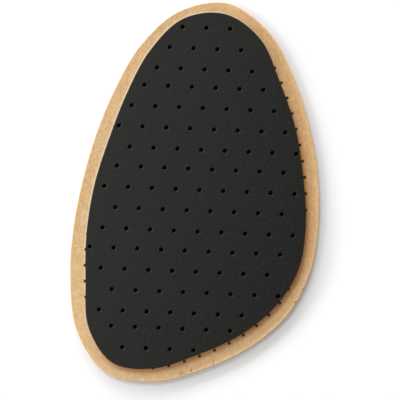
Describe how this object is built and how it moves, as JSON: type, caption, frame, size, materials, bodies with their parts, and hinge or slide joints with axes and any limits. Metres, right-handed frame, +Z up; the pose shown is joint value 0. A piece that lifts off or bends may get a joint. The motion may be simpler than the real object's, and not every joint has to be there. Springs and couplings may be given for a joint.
{
  "type": "insole",
  "caption": "Half insole for the front of a foot: a thin leather cover with a perforated black foam pad glued under it, lying underside up.",
  "frame": {"origin": "middle of the outline's box, on the surface that the leather cover rests on", "axes": "+Y along the insole towards its narrow end under the arch, +X towards the outer side of the foot as it lies, +Z up out of the underside's foam pad"},
  "size_m": [0.0823, 0.1314, 0.0037],
  "materials": {
    "leather": "vegetable-tanned, suede side up, unfinished and matt",
    "foam": "closed-surface latex foam, matt, perforated"
  },
  "bodies": {
    "root": {"leather_cover": "leather", "foam_pad": "foam"}
  },
  "joints": []
}
